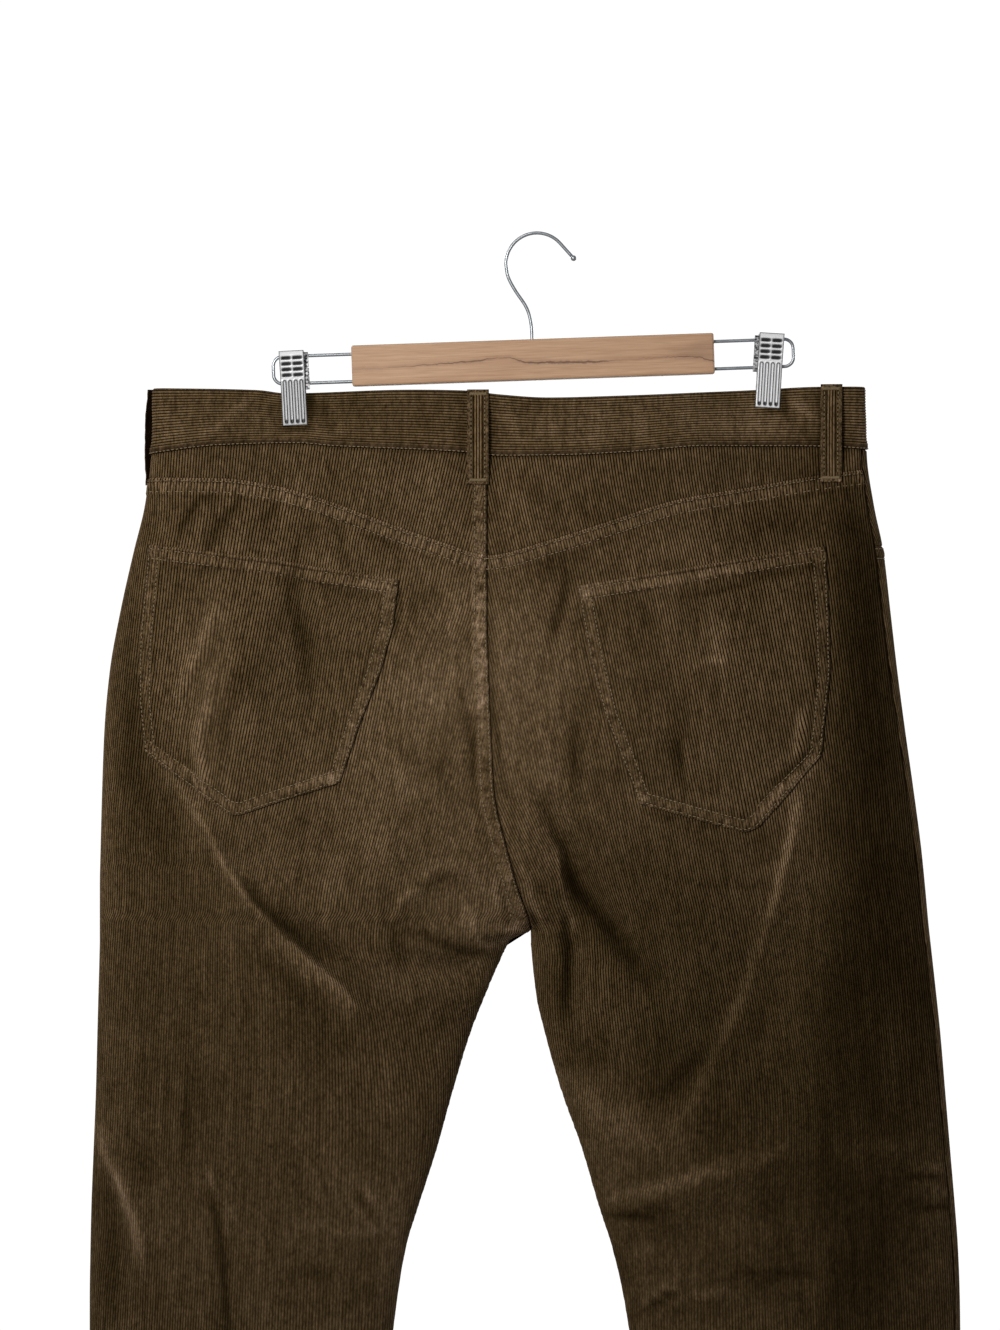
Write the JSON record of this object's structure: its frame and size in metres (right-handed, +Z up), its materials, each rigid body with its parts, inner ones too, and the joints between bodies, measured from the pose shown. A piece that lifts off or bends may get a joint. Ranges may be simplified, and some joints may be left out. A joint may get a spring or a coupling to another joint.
{
  "type": "corduroy trousers on a clip hanger",
  "caption": "Corduroy trousers hung by the waistband from a wooden bar hanger with sprung clips, seen from behind.",
  "frame": {"origin": "inside the top of the hook's bend, where the hanger hangs on a rail", "axes": "+Z up, +X to the right seen from behind the garment, the garment's back faces -Y and its fly faces +Y"},
  "size_m": [0.562, 0.076, 1.2022],
  "materials": {
    "cloth": "14-wale olive-brown cotton corduroy with a soft nap",
    "button": "satin",
    "wood": "plain sanded wood with a fine grain and two dark streaks",
    "wire": "bright plated wire",
    "clip": "bright plated pressed steel"
  },
  "bodies": {
    "root": {"back_left": "cloth", "back_right": "cloth", "front_left": "cloth", "front_right": "cloth", "yoke_left": "cloth", "yoke_right": "cloth", "waistband": "cloth", "pocket_back_left": "cloth", "pocket_back_right": "cloth", "pocket_facing_left": "cloth", "pocket_facing_right": "cloth", "fly_facing": "cloth", "waist_button": "button", "belt_loop_centre_back": "cloth", "belt_loop_side_left": "cloth", "belt_loop_side_right": "cloth", "belt_loop_front_left": "cloth", "belt_loop_front_right": "cloth", "hanger_bar": "wood", "hanger_hook": "wire", "hanger_wire_left": "wire", "hanger_wire_right": "wire", "clip_left_plate_back": "clip", "clip_left_plate_front": "clip", "clip_left_spring": "clip", "clip_right_plate_back": "clip", "clip_right_plate_front": "clip", "clip_right_spring": "clip"}
  },
  "joints": []
}
